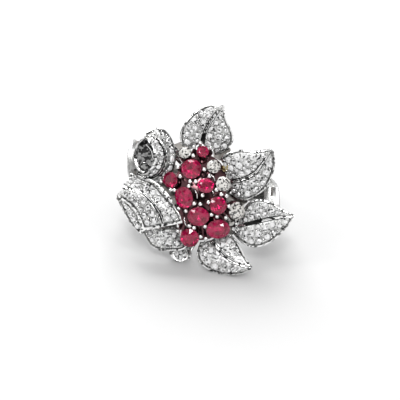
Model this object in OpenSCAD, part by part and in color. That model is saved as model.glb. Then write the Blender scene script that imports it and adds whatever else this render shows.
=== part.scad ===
// A white metal flower ring: leaves set with small diamonds round a cluster of rubies, lying on its side.
// Everything is drawn in the head's own frame, then laid down by lay().
// In that frame X is to the right and Y is up as the head is seen. Z is out of the head, off the finger,
// and the outside of the hoop reaches z = 0 under the head.

/* [Shank] */
// Diameter of the finger hole
finger_d = 17.3; // [16.8:0.1:17.8]
// Metal between the finger and the outside of the hoop
hoop_t = 1.35; // [1.2:0.05:1.5]
// Width of the hoop at the palm
palm_w = 3.4; // [3.2:0.1:4]
// Width of the band at the shoulders
shoulder_w = 6; // [5.5:0.1:6.5]
// Width of the flat middle of the finger wall
wall_w = 3; // [2.6:0.1:3.1]
// From the middle of the hoop to the outside of a shoulder
shoulder_reach = 12.4; // [12:0.1:12.8]
// Height of the shoulders' ends
shoulder_top = 0.7; // [0:0.1:0.8]
// Thickness of a shoulder's two strips
strip_t = 1; // [0.8:0.1:1.2]
// Slit between the two strips of a shoulder
strip_slit = 0.4; // [0.3:0.05:0.5]
// Depth of the slit from each side of the band
slit_deep = 1.4; // [1:0.1:1.6]
// Width of the hoop under the head
top_w = 4.8; // [4.4:0.1:5]
// Turn of the hoop against the head
hoop_turn = -4; // [-6:1:-2]
// Middle of the hoop, up from the head's middle
hoop_y = 1.2; // [1:0.1:1.4]
// How far each shoulder sweeps past the head along the finger, one up and one down
bypass = 3; // [2.8:0.1:3.2]

/* [Cluster] */
// Height of the girdles at the middle of the cluster
cluster_top = 5; // [4.9:0.1:5.2]
// Radius of the dome that the girdles lie on
dome_r = 16; // [15.5:0.5:17]
// Middle of the dome, across
dome_x = -0.5; // [-0.6:0.1:-0.4]
// Middle of the dome, up
dome_y = -0.8; // [-0.9:0.1:-0.7]
// From the girdles down to the shell of the gallery
collet_h = 1.6; // [1.5:0.1:1.7]
// Wall of a collet
collet_t = 0.3; // [0.25:0.05:0.35]
// Thickness of the shell of the gallery
shell_t = 0.8; // [0.6:0.1:0.9]
// Radius of the round ends of the shell
shell_r = 3.9; // [3.8:0.1:4.2]
// Radius of the round ends of the saddle
saddle_r = 3.6; // [3.4:0.1:3.6]
// Thickness of the wall of the saddle
saddle_t = 0.8; // [0.7:0.1:1]
// Clear space between the saddle and the hoop
saddle_gap = 0.05; // [0.03:0.01:0.08]
// Least clear space between a leaf's base and the shell
seat_gap = 0.22; // [0.2:0.01:0.25]
// Radius of the post of a claw
claw_r = 0.25; // [0.22:0.01:0.27]
// Radius of the bead on a claw
bead_r = 0.35; // [0.3:0.01:0.36]
// Height of a bead's centre over the girdles
bead_h = 0.3; // [0.28:0.02:0.36]

/* [Leaves] */
// Metal under the bed of a leaf
leaf_t = 0.5; // [0.4:0.05:0.55]
// Height of the rim over the bed
rim_h = 0.45; // [0.4:0.05:0.5]
// Width of the rim
rim_w = 0.26; // [0.24:0.01:0.3]
// Height of the lips beside the vein over the bed
lip_h = 0.3; // [0.2:0.05:0.4]
// Width of the lips beside the vein, from the middle of the vein
lip_w = 0.26; // [0.24:0.01:0.28]
// Half of the slit of the vein, half way along it
slit_w = 0.12; // [0.1:0.01:0.13]

/* [Small diamonds] */
// Diameter of the widest small diamond
pave_d = 1.2; // [1.1:0.05:1.3]
// Diameter of the smallest small diamond
pave_least = 0.68; // [0.65:0.01:0.75]
// Clear space between small diamonds
pave_gap = 0.12; // [0.11:0.01:0.15]
// Height of their girdles over the bed
pave_seat = 0.42; // [0.4:0.01:0.45]
// Least width of bed for one small diamond
pave_pitch = 0.98; // [0.95:0.01:1.05]

/* [Hidden] */
$fn = 48;
finger_r = finger_d / 2;
hoop_r = finger_r + hoop_t;
dome_c = [dome_x, dome_y, cluster_top - dome_r];
shell_x = -0.35;
shell_top = 1.8;
shell_bottom = -4;

// How the ring lies: the head faces up by lay_lean from level, after a turn by lay_turn about its own Z
lay_lean = 28.89;
lay_turn = 7.07;
lay_shift = [-0.578, -5.005, 10.063];

// Main stones, in millimetres: x, y, width, height, turn, lift over the dome
RUBIES = [
  [-0.1, 6.05, 1.95, 1.95, 0, 0],
  [-1.9, 3.3, 3.2, 3.2, 0, 0.1],
  [-5.2, 1.6, 2.3, 2.6, 20, 0],
  [0.35, 0.7, 2.65, 2.35, 0, 0.2],
  [-3.05, -1.2, 2.8, 3.45, 14, 0.1],
  [2.3, -2.4, 2.7, 2.8, 0, 0.1],
  [-0.8, -4.15, 3.45, 3, 0, 0.2],
  [2.3, -6.15, 3.8, 3.15, -8, 0],
  [-2.2, -7.5, 3, 3.2, 0, 0]
];
DIAMONDS = [
  [-2.9, 5.9, 2, 2, 0, 0],
  [1.6, 3.7, 2.2, 2.2, 0, 0],
  [3.1, 0.95, 2.35, 2.35, 0, 0],
  [5.25, -3.3, 2.7, 2.9, 0, 0]
];
STONES = concat(RUBIES, DIAMONDS);

// Claws: x, y of the bead as the head is seen
CLAWS = [
  [-0.5, 7.4], [1.15, 6.6], [-1.5, 6.7], [-1.6, 5.35], [-4, 3.55], [0.1, 3.2], [0.9, 2.15],
  [2.0, 0], [-1.22, 1.32], [-2.1, 1.35], [-2.3, 0.6], [-3.65, 2.1], [-0.15, -0.85], [0.75, -1.9],
  [-1.47, -2.13], [-0.5, -2.2], [2.75, -0.7], [3.6, -0.95], [3.96, -2.56], [2.1, -4.15], [1.23, -3.87],
  [0.23, -5.7], [3.5, -4.35], [-5.15, 0], [-4.56, -0.03], [-3.9, -2.9], [-2.75, -3.3], [-2.2, -5.6],
  [-1.48, -5.9], [-0.44, -7.29], [0.35, -7.6], [-4, -6.4], [-6.66, 1.29]
];

// Leaves, a row a section from base to tip: x, y, z of the vein, then of one edge, then of the other edge.
// The left leaf's second edge is a fold, and its last x, y, z is the edge of the flap beyond it.
LEAF_TOP = [
  [-0.2, 5.6, 0.5, 0.9, 5.6, 0.6, -0.9, 5.6, 0.5],
  [-0.2, 7, 1.5, 3.6, 6.6, 1.5, -3.2, 7.2, 1.6],
  [0, 8.5, 2.1, 4.6, 7.9, 1.8, -3.6, 8.7, 2],
  [0.5, 9.7, 2.5, 4.35, 9.25, 2.1, -3.2, 9.9, 2.3],
  [1.1, 10.8, 2.8, 3.8, 10.3, 2.5, -2.35, 11.1, 2.5],
  [1.8, 11.8, 3, 3.4, 11.3, 2.9, -1, 12.3, 2.7],
  [2.5, 12.6, 3.2, 3.3, 12.2, 3.2, 0.7, 13.1, 2.9],
  [3.1, 13.25, 3.4, 3.3, 13.1, 3.4, 2.9, 13.35, 3.35]
];
LEAF_UPPER_RIGHT = [
  [4.1, 1.4, 1.4, 4.4, -0.3, 1.2, 3.2, 3.6, 1.4],
  [4.6, 1.4, 1.8, 5, -1.1, 1.5, 3.1, 5.2, 2.4],
  [5.75, 1.6, 2.3, 6.5, -1.55, 1.9, 4.4, 6, 3],
  [7, 2.05, 2.6, 8.2, -0.9, 2.1, 6, 6.3, 3.3],
  [8.1, 2.75, 2.9, 9.7, 0.45, 2.3, 7.45, 6.1, 3.4],
  [8.9, 3.8, 3.1, 10.6, 2.2, 2.5, 8.7, 6.15, 3.4],
  [9.7, 5, 3.2, 11.1, 4.2, 2.8, 9.8, 6.35, 3.4],
  [10.7, 6.35, 3.3, 10.95, 6.1, 3.2, 10.5, 6.5, 3.3]
];
LEAF_LOWER_RIGHT = [
  [4.95, -5.75, 1, 4.6, -6.5, 1, 5.35, -4.95, 0.95],
  [5.95, -5.65, 1.5, 5.5, -7.5, 1.4, 6.45, -3.95, 1.5],
  [6.75, -5.4, 1.9, 6.3, -8.3, 1.7, 6.95, -2.7, 2],
  [7.95, -5.1, 2.2, 7.85, -8.9, 1.9, 7.7, -1.7, 2.7],
  [9.2, -4.8, 2.5, 9.5, -8.6, 2.1, 9.05, -1.45, 3],
  [10.45, -4.5, 2.7, 11.05, -7.7, 2.3, 10.6, -1.95, 3.1],
  [11.8, -4.3, 2.9, 12.25, -6.6, 2.6, 12, -2.85, 3.1],
  [13.1, -4.1, 3.1, 13.3, -5.4, 2.9, 13.3, -3.5, 3.2],
  [14.2, -4, 3.2, 14.2, -4.2, 3.2, 14.2, -3.85, 3.2]
];
LEAF_BOTTOM = [
  [0.9, -7.75, 0.8, -0.1, -7.8, 0.8, 2, -7.4, 0.8],
  [1.75, -8.6, 1.6, -0.9, -10, 1.3, 4.2, -7.3, 1.6],
  [2.5, -9.5, 2.1, -0.45, -11.4, 1.6, 5.3, -8.3, 2],
  [3.45, -10.4, 2.4, 0.8, -12.4, 1.9, 5.9, -9.4, 2.3],
  [4.55, -11.1, 2.7, 2.45, -13.05, 2.1, 6.35, -10.3, 2.6],
  [5.75, -11.65, 2.9, 4.3, -13.2, 2.4, 6.8, -11.1, 2.8],
  [6.75, -12, 3, 6.05, -13, 2.7, 7.2, -11.7, 3],
  [7.6, -12.2, 3.1, 7.45, -12.35, 3, 7.65, -12.1, 3.1]
];
LEAF_LEFT = [
  [-6.35, -5.6, 4.7, -3.5, -5, 4.4, -9.1, -6.3, 3.9, -9.5, -6.85, 2.9],
  [-6.6, -4.4, 5, -3.7, -4.1, 4.8, -9.5, -5.1, 3.9, -10.6, -5.7, 2.4],
  [-7.2, -3.2, 5.1, -4.4, -3, 5, -10, -3.8, 3.8, -11.5, -4.6, 2.1],
  [-8, -2.1, 5, -5.3, -1.9, 4.9, -10.7, -2.75, 3.6, -12.2, -3.4, 2],
  [-8.9, -1.15, 4.7, -6.4, -0.7, 4.6, -11.45, -2, 3.3, -12.7, -2.4, 1.9],
  [-10, -0.45, 4.2, -7.6, 0.8, 4.1, -12.2, -1.5, 3, -13.1, -1.6, 2],
  [-11.2, -0.1, 3.6, -9.3, 1.6, 3.5, -12.8, -1.1, 2.8, -13.4, -1.15, 2.2],
  [-12.5, 0.8, 3, -11.3, 2.6, 2.9, -13.35, -0.75, 2.6, -13.5, -0.8, 2.4]
];
LEAF_LOWER_LEFT = [
  [-2.9, -7.1, 0.8, -3.3, -6.3, 0.8, -2.3, -7.6, 0.8],
  [-4, -7.8, 1.5, -4.2, -6, 1.6, -3.1, -9.2, 1.3],
  [-5.1, -7.8, 2, -5.2, -5.9, 2, -4.6, -9.4, 1.7],
  [-6.35, -7.6, 2.2, -6.35, -5.9, 2.1, -5.95, -9.4, 1.8],
  [-7.6, -7.2, 2.1, -7.5, -5.9, 2, -7.3, -9.2, 1.8],
  [-8.5, -6.8, 1.8, -8.5, -5.8, 1.7, -8.3, -8.3, 1.7],
  [-9.3, -6.3, 1.5, -9.2, -6, 1.5, -9.2, -6.7, 1.5]
];
PETAL_SMALL = [
  [-1.5, -7.9, 0.1, -2, -7.8, 0.1, -1, -8, 0.1],
  [-2.5, -8.8, 0, -3.4, -8.6, 0, -1.6, -9.1, 0],
  [-3.35, -9.6, 0.3, -4.7, -9.5, 0.3, -2.1, -9.8, 0.3],
  [-3.65, -10.2, 0.5, -5.35, -9.9, 0.5, -2, -10.3, 0.5],
  [-3.7, -10.8, 0.7, -5.1, -10.6, 0.7, -2.25, -10.8, 0.7],
  [-3.7, -11.3, 0.8, -4.5, -11.1, 0.8, -2.9, -11.15, 0.8]
];
LEAF_ROLLED = [
  [-9.85, 2.3, 2, -9.7, 1.9, 1.5, -10.2, 2.9, 3],
  [-9, 1.95, 3, -8.2, 1.4, 2, -9.6, 2.75, 3.7],
  [-7.9, 2.1, 3.6, -6.7, 1.7, 2.4, -8.9, 2.8, 4.1],
  [-6.8, 2.9, 4, -5.35, 3.25, 2.5, -8.2, 3.5, 4.6],
  [-6.2, 4.2, 4.3, -4.7, 4.5, 3, -7.8, 4.4, 5],
  [-6, 5.5, 4.4, -4.75, 6.2, 3, -7.6, 5.2, 5.2],
  [-6.35, 6.7, 4.4, -5.3, 8, 3, -7.75, 6, 5.2],
  [-7, 7.7, 4.3, -6.3, 9.2, 3, -8.15, 6.9, 5],
  [-7.8, 8.3, 4.1, -7.6, 9.45, 3.2, -8.7, 7.55, 4.7],
  [-8.9, 8.3, 3.8, -8.9, 8.6, 3.6, -9.2, 8.05, 3.9]
];

// Puff of the lobes, as a share of their width
puff = 0.1;
// Slope beside a rim, and the clear strip between a rim and its diamonds
slope_w = 0.06;
bed_clear = 0.06;

// The tube that the rolled leaf makes: middle, radii, wall, ends and window levels as shares of its height
TUBE_MID = [-9.2, 5.35];
TUBE_R = [1.77, 2.85];
tube_t = 0.35;
tube_low = 1.2;
tube_high = 4.3;
tube_rise = 0.6;
TUBE_LEVELS = [0, 0.15, 0.45, 0.55, 0.85, 1];
tube_sides = 18;
tube_floor = 0.4;
// Stem wires, from a leaf to inside the shell, where they end at its outline
ROLLED_STEMS = [
  [[-5.8, 7.4, 3.15], [-2.4, 4.9, 1.2]],
  [[-5.5, 6.3, 3.15], [-2.8, 3.6, 1.1]]
];
LEFT_STEM = [[-6.2, -3.1, 4.6], [-3.5, -2.5, 1.5]];
stem_r = 0.35;

function unit(v) = v / norm(v);
function outward(v) = v[2] < 0 ? -v : v;
function mix(a, b, f) = a + (b - a) * f;
function smooth(f) = let (g = max(0, min(1, f))) g * g * (3 - 2 * g);

// A smooth curve through the rows of a table
function between(a, b, c, d, f) =
  0.5 * (2 * b + (c - a) * f + (2 * a - 5 * b + 4 * c - d) * f * f + (3 * b - a - 3 * c + d) * f * f * f);
function row_at(tab, s) =
  let (n = len(tab) - 1, i = min(floor(s), n - 1))
  between(tab[max(i - 1, 0)], tab[i], tab[i + 1], tab[min(i + 2, n)], s - i);

// A leaf's surface: s runs from base to tip, side is 1 or 2, or 3 for the flap beyond a fold,
// and t runs from the vein, or from the fold, to that side's edge
function point_at(tab, s, k) = let (r = row_at(tab, s)) [r[3 * k], r[3 * k + 1], r[3 * k + 2]];
function root(tab, s, side) = point_at(tab, s, side == 3 ? 2 : 0);
function width(tab, s, side) = norm(point_at(tab, s, side) - root(tab, s, side));
function along(tab, s) =
  let (n = len(tab) - 1)
  point_at(tab, min(s + 0.1, n), 0) - point_at(tab, max(s - 0.1, 0), 0);
function bed(tab, s, side, t) =
  let (m = root(tab, s, side), across = point_at(tab, s, side) - m)
  m + across * t + outward(unit(cross(along(tab, s), across))) * puff * norm(across) * sin(180 * t);
function bed_normal(tab, s, side, t) =
  let (n = len(tab) - 1, q = max(0.1, min(s, n - 0.3)))
  outward(unit(cross(
    bed(tab, q + 0.05, side, t) - bed(tab, q - 0.05, side, t),
    bed(tab, q, side, t + 0.05) - bed(tab, q, side, t - 0.05)
  )));

// Where the rim, the lip and the slit begin, as shares of a lobe's width w; the slit narrows towards the tip
function rim_at(w) = 1 - min(rim_w, 0.35 * w) / w;
function lip_at(w) = min(lip_w, 0.3 * w) / w;
function slit_at(w, f) = min(slit_w * (1.6 - 1.2 * f), 0.14 * w) / w;
function slope(w) = min(slope_w, 0.04 * w) / w;

// Columns over a lobe of width w, from its edge to the vein: place and height over the bed,
// with f from 0 at the base to 1 at the tip
function lobe_columns(w, lip, f) = [
  [1, rim_h], [rim_at(w), rim_h], [rim_at(w) - slope(w), 0], [(rim_at(w) + lip_at(w)) / 2, 0],
  [lip_at(w) + slope(w), 0], [lip_at(w), lip], [slit_at(w, f), lip]
];
function flap_columns(w) = [
  [lip_at(w), rim_h], [lip_at(w) + slope(w), 0], [rim_at(w) - slope(w), 0], [rim_at(w), rim_h], [1, rim_h]
];
function reversed(list) = [for (i = [len(list) - 1:-1:0]) list[i]];
// The columns of one row: side, place and height over the bed, all at the rim's height up to s = base
function leaf_row(tab, s, lip, base) =
  let (
    f = s / (len(tab) - 1),
    a = [for (c = lobe_columns(width(tab, s, 1), lip, f)) [1, c[0], c[1]]],
    b = [for (c = reversed(lobe_columns(width(tab, s, 2), lip, f))) [2, c[0], c[1]]],
    flap = len(tab[0]) > 9 ? [for (c = flap_columns(width(tab, s, 3))) [3, c[0], c[1]]] : []
  )
  [for (c = concat(a, b, flap)) [c[0], c[1], s <= base ? rim_h : c[2]]];
// Towards the tip the columns turn to one common normal; a fold takes the mean of its two sides
function column_normal(tab, s, c) =
  let (
    own = c[0] == 2 && c[1] == 1 && len(tab[0]) > 9 ?
      unit(bed_normal(tab, s, 2, 1) + bed_normal(tab, s, 3, 0)) : bed_normal(tab, s, c[0], c[1]),
    common = unit(bed_normal(tab, s, 1, 0.5) + bed_normal(tab, s, 2, 0.5))
  )
  unit(mix(own, common, smooth(s - len(tab) + 2.2)));

// A closed shell over a grid of rows and columns: cut names the cells that are left out,
// and wrap says that the last column meets the first
function is_there(p, q, rows, cols, cut, wrap) =
  p >= 0 && p < rows - 1 && (wrap || (q >= 0 && q < cols - 1))
  && len([for (c = cut) if (c == [p, (q + cols) % cols]) 1]) == 0;
function cell_walls(i, j, rows, cols, cut, wrap) =
  let (
    n = rows * cols,
    j2 = (j + 1) % cols,
    corner = [i * cols + j, i * cols + j2, (i + 1) * cols + j2, (i + 1) * cols + j],
    next = [[i - 1, j], [i, j + 1], [i + 1, j], [i, j - 1]]
  )
  !is_there(i, j, rows, cols, cut, wrap) ? [] : concat(
    [[corner[0], corner[1], corner[2]], [corner[0], corner[2], corner[3]]],
    [[n + corner[2], n + corner[1], n + corner[0]], [n + corner[3], n + corner[2], n + corner[0]]],
    [for (k = [0:3]) if (!is_there(next[k][0], next[k][1], rows, cols, cut, wrap))
      each [
        [corner[(k + 1) % 4], corner[k], n + corner[k]],
        [corner[(k + 1) % 4], n + corner[k], n + corner[(k + 1) % 4]]
      ]]
  );
function shell_faces(rows, cols, cut, wrap) =
  [for (i = [0:rows - 2], j = [0:cols - (wrap ? 1 : 2)]) each cell_walls(i, j, rows, cols, cut, wrap)];

// A point of column c at s, h over the bed, and the least s from which column j is clear of the shell
function leaf_point(tab, s, c, h) = bed(tab, s, c[0], c[1]) + column_normal(tab, s, c) * h;
function clear_from(tab, lip, j) =
  max([for (s = [0:0.05:1.6])
    let (c = leaf_row(tab, s, lip, 0)[j])
    min(shell_room(leaf_point(tab, s, c, c[2])), shell_room(leaf_point(tab, s, c, -leaf_t))) < seat_gap ?
      s + 0.05 : 0]);

// A leaf of the table's form with a section every step rows. Its vein is slit from row slit[0] to row
// slit[1], lip is the height of the lips beside it, and the bed is closed by a rim up to row base.
// A seated leaf starts where it is clear of the shell.
module leaf(tab, slit, lip, base, step, seated) {
  n = len(tab) - 1;
  stations = concat(
    base > 0 ? [0, base, base + 0.06] : [0],
    [for (s = [step:step:n]) if (s > base + 0.2) s]
  );
  cols = len(leaf_row(tab, 0, lip, base));
  from = [for (j = [0:cols - 1]) seated ? clear_from(tab, lip, j) : 0];
  grid = [for (s = stations, j = [0:cols - 1])
    let (m = s < 2 ? mix(from[j], 2, s / 2) : s) concat(m, leaf_row(tab, m, lip, base)[j])];
  top = [for (g = grid) leaf_point(tab, g[0], [g[1], g[2]], g[3])];
  under = [for (g = grid) leaf_point(tab, g[0], [g[1], g[2]], -leaf_t)];
  cut = [for (i = [0:len(stations) - 2]) if (stations[i] >= slit[0] && stations[i] < slit[1]) [i, 6]];
  polyhedron(concat(top, under), shell_faces(len(stations), cols, cut, false));
}

// The small diamonds of a leaf: rows from s = first to s = last, each filled from lip to rim
function line_gap(p, a, b) =
  let (d = b - a, f = max(0, min(1, (p - a) * d / (d * d))))
  norm(p - a - d * f);
function pave_row(tab, s, step, side, lip) =
  let (
    n = len(tab) - 1,
    w = width(tab, s, side),
    from = (lip > 0 ? lip_at(w) * w + slope_w : 0) + bed_clear,
    room = rim_at(w) * w - slope_w - bed_clear - from,
    count = max(1, floor(room / pave_pitch))
  )
  [for (k = [0:count - 1])
    let (
      t = (from + (k + 0.5) * room / count) / w,
      p = bed(tab, s, side, t),
      fore = min(s + step, n),
      back = max(s - step, 0),
      gap = min(
        line_gap(p, root(tab, fore, side), point_at(tab, fore, side)),
        line_gap(p, root(tab, back, side), point_at(tab, back, side))
      ),
      d = min(pave_d, room / count - pave_gap, 0.97 * gap - pave_gap)
    )
    if (d >= pave_least && shell_room(p) > d / 2 + pave_gap && stone_room(p) > d / 2 - pave_gap)
      [p, bed_normal(tab, s, side, t), unit(along(tab, s)), d]];
function pave_set(tab, first, last, rows, lip) =
  let (step = (last - first) / (rows - 1))
  [for (i = [0:rows - 1], side = [1:len(tab[0]) / 3 - 1])
    each pave_row(tab, first + i * step, step, side, lip)];

// One small diamond: a table, eight crown facets and eight pavilion facets
function ring8(r, z) = [for (k = [0:7]) [r * cos(45 * k + 22.5), r * sin(45 * k + 22.5), z]];
function small_cut(d) =
  concat(ring8(0.3 * d, 0.15 * d), ring8(0.5 * d, 0), [[0, 0, -0.3 * d]]);
SMALL_FACES = concat(
  [[7, 6, 5, 4, 3, 2, 1, 0]],
  [for (k = [0:7]) [k, (k + 1) % 8, 8 + (k + 1) % 8, 8 + k]],
  [for (k = [0:7]) [8 + k, 8 + (k + 1) % 8, 16]]
);
function placed(points, p, n, dir) =
  let (ex = unit(dir - n * (n * dir)), ey = cross(n, ex))
  [for (q = points) p + ex * q[0] + ey * q[1] + n * q[2]];
module pave(set) {
  points = [for (g = set) each placed(small_cut(g[3]), g[0] + g[1] * pave_seat, g[1], g[2])];
  faces = [for (i = [0:len(set) - 1], f = SMALL_FACES) [for (v = f) v + 17 * i]];
  polyhedron(points, faces);
}

// A main stone in its own frame, girdle at z = 0: a brilliant cut stretched to width w and height h
function ring_at(count, first, w, h, z) =
  [for (k = [0:count - 1])
    let (a = first + k * 360 / count) [w / 2 * cos(a), h / 2 * sin(a), z]];
function cut_points(w, h) =
  let (r = min(w, h) / 2)
  concat(
    ring_at(8, 0, 0.56 * w, 0.56 * h, 0.32 * r),
    ring_at(8, 22.5, 0.78 * w, 0.78 * h, 0.2 * r),
    ring_at(16, 0, w, h, 0.03 * r),
    ring_at(16, 0, w, h, -0.03 * r),
    ring_at(8, 22.5, 0.3 * w, 0.3 * h, -0.62 * r),
    [[0, 0, -0.86 * r]]
  );
CUT_FACES = concat(
  [[7, 6, 5, 4, 3, 2, 1, 0]],
  [for (k = [0:7])
    let (
      m = (k + 1) % 8,
      g = 16 + 2 * k,
      g2 = 16 + (2 * k + 2) % 16,
      h = 32 + 2 * k,
      h2 = 32 + (2 * k + 2) % 16
    )
    each [
      [k, m, 8 + k],
      [k, 8 + k, g],
      [m, g2, 8 + k],
      [8 + k, g + 1, g],
      [8 + k, g2, g + 1],
      [g, g + 1, h + 1],
      [g, h + 1, h],
      [g + 1, g2, h2],
      [g + 1, h2, h + 1],
      [h, h + 1, 48 + k],
      [h + 1, h2, 48 + k],
      [48 + k, h2, 56],
      [h, 48 + k, 56]
    ]]
);
function stone_normal(x, y, lift) =
  let (r = dome_r + lift, dx = x - dome_x, dy = y - dome_y)
  [dx, dy, sqrt(r * r - dx * dx - dy * dy)] / r;
// The round collet under a stone, its foot on the shell, and how far a place is from the shell
function collet_r(s) = 0.42 * min(s[2], s[3]);
function foot_r(s) = collet_r(s) + 0.25;
function foot_at(s) =
  let (p = dome_c + stone_normal(s[0], s[1], s[5]) * (dome_r - collet_h)) [p[0], p[1]];
function claw_foot(i) = foot_at([CLAWS[i][0], CLAWS[i][1], 0, 0, 0, 0]);
function shell_room(p) =
  min(concat(
    [norm([p[0] - shell_x, p[1] - max(shell_bottom, min(shell_top, p[1]))]) - shell_r],
    [for (s = STONES) norm([p[0], p[1]] - foot_at(s)) - foot_r(s)],
    [for (i = [0:2]) norm([p[0], p[1]] - claw_foot(i)) - 2 * claw_r]
  ));
function stone_room(p) = min([for (s = STONES) norm([p[0] - s[0], p[1] - s[1]]) - min(s[2], s[3]) / 2]);
module on_dome(x, y, lift, turn) {
  n = stone_normal(x, y, lift);
  ex = unit([1, 0, 0] - n * n[0]);
  ey = cross(n, ex);
  p = dome_c + n * (dome_r + lift);
  multmatrix([
    [ex[0], ey[0], n[0], p[0]],
    [ex[1], ey[1], n[1], p[1]],
    [ex[2], ey[2], n[2], p[2]]
  ])
    rotate([0, 0, turn]) children();
}
module main_stone(s) {
  on_dome(s[0], s[1], s[5], s[4]) polyhedron(cut_points(s[2], s[3]), CUT_FACES);
}

module lay() {
  translate(lay_shift) rotate([90 - lay_lean, 0, 0]) rotate([0, 0, lay_turn]) children();
}

// The shank, in the hoop's frame: the finger's axis along Y, Z towards the head
ease = 0.35;
crown = 0.3;
flare_r = 18;
flare_z = 8;
flare_from = 38;
far_w = 8;
module finger_void() {
  out = finger_r + ease * (far_w - wall_w / 2) / (top_w / 2 - wall_w / 2);
  rotate([90, 0, 0]) rotate_extrude()
    polygon([
      [0, -far_w], [out, -far_w], [finger_r, -wall_w / 2],
      [finger_r, wall_w / 2], [out, far_w], [0, far_w]
    ]);
}
module hoop_blank() {
  rotate([90, 0, 0]) rotate_extrude()
    polygon(concat(
      [[finger_r - 1, top_w / 2], [finger_r - 1, -top_w / 2]],
      [for (a = [-1:0.25:1]) [hoop_r - crown * a * a, a * top_w / 2]]
    ));
}
module taper() {
  translate([-20, 0, 0]) rotate([90, 0, 90]) linear_extrude(40)
    polygon([
      [-palm_w / 2, -hoop_r], [palm_w / 2, -hoop_r], [top_w / 2, 2], [top_w / 2, 12],
      [-top_w / 2, 12], [-top_w / 2, 2]
    ]);
}
// A shoulder's section at f, 0 at its root and 1 at its end: across the band and out from the finger
bulge = 0.5;
function shoulder_section(f) =
  let (
    w = mix(top_w / 2 - 0.2, shoulder_w / 2, f),
    d = 0.05 + (slit_deep - 0.05) * smooth((f - 0.35) / 0.3),
    n1 = -strip_t - 0.15,
    n2 = n1 - strip_slit,
    n3 = n2 - strip_t
  )
  [
    [-w, -bulge], [-w / 2, -bulge / 4], [0, 0], [w / 2, -bulge / 4], [w, -bulge],
    [w, n1], [w - d, n1], [w - d, n2], [w, n2], [w, n3],
    [-w, n3], [-w, n2], [d - w, n2], [d - w, n1], [-w, n1]
  ];
function shoulder_ring(f) =
  let (
    top_angle = -asin((hoop_r + shoulder_top - flare_z) / flare_r),
    a = mix(flare_from, top_angle, f),
    out = [cos(a), 0, -sin(a)],
    mid = [shoulder_reach - flare_r, -bypass * smooth(f), flare_z] + out * flare_r
  )
  [for (q = shoulder_section(f)) mid + out * q[1] + [0, q[0], 0]];
SHOULDER_CAP = [
  [2, 4, 3], [2, 5, 4], [2, 6, 5], [2, 13, 6], [2, 14, 13], [2, 0, 14], [2, 1, 0],
  [6, 13, 12], [6, 12, 7],
  [9, 11, 10], [9, 12, 11], [9, 7, 12], [9, 8, 7]
];
module shoulder() {
  steps = 8;
  n = 15;
  polyhedron(
    [for (i = [0:steps]) each shoulder_ring(i / steps)],
    concat(
      [for (f = SHOULDER_CAP) [f[0], f[2], f[1]]],
      [for (i = [0:steps - 1], j = [0:n - 1])
        let (a = i * n + j, b = i * n + (j + 1) % n)
        each [[a, b, b + n], [a, b + n, a + n]]],
      [for (f = SHOULDER_CAP) [f[0] + steps * n, f[1] + steps * n, f[2] + steps * n]]
    )
  );
}
module on_hoop() {
  translate([0, hoop_y, -hoop_r]) rotate([0, 0, hoop_turn]) children();
}
module shank() {
  color("silver")
    lay() on_hoop() difference() {
      union() {
        intersection() {
          hoop_blank();
          taper();
        }
        for (side = [0, 180]) rotate([0, 0, side]) shoulder();
      }
      finger_void();
    }
}

module stadium(r) {
  translate([shell_x, shell_top]) circle(r);
  translate([shell_x, shell_bottom]) circle(r);
  translate([shell_x - r, shell_bottom]) square([2 * r, shell_top - shell_bottom]);
}
// The shell's outline: a stadium, a round foot under each stone and one under each of the three top claws
module shell_plan(grow) {
  stadium(shell_r + grow);
  for (s = STONES) translate(foot_at(s)) circle(foot_r(s) + grow);
  for (i = [0:2]) translate(claw_foot(i)) circle(2 * claw_r + grow);
}
module against_shell() {
  difference() {
    children();
    translate([0, 0, -1]) linear_extrude(8) shell_plan(saddle_gap);
  }
}
function collet_top(s) =
  let (inner = collet_r(s) - collet_t)
  -0.43 * min(s[2], s[3]) * (1 - 2 * inner / max(s[2], s[3])) - 0.1;
module gallery() {
  deep = collet_h + 0.7 * shell_t;
  color("gainsboro")
    lay() difference() {
      union() {
        intersection() {
          translate([0, 0, -1]) linear_extrude(8) shell_plan(0);
          translate(dome_c) difference() {
            sphere(dome_r - collet_h);
            sphere(dome_r - collet_h - shell_t);
          }
        }
        intersection() {
          translate([0, 0, -1.4]) linear_extrude(8) difference() {
            stadium(saddle_r);
            stadium(saddle_r - saddle_t);
          }
          translate(dome_c) sphere(dome_r - collet_h - shell_t / 2);
        }
        for (s = STONES)
          on_dome(s[0], s[1], s[5], 0)
            translate([0, 0, -deep - s[5]]) cylinder(r = collet_r(s), h = deep + s[5] + collet_top(s));
        for (c = CLAWS)
          on_dome(c[0], c[1], bead_h, 0) {
            sphere(bead_r);
            translate([0, 0, -deep - bead_h]) cylinder(r = claw_r, h = deep + bead_h);
          }
      }
      on_hoop() translate([0, 20, 0]) rotate([90, 0, 0]) cylinder(r = hoop_r + saddle_gap, h = 40);
      for (s = STONES)
        on_dome(s[0], s[1], s[5], 0)
          translate([0, 0, -2 * deep]) cylinder(r = collet_r(s) - collet_t, h = 3 * deep);
    }
}

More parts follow.
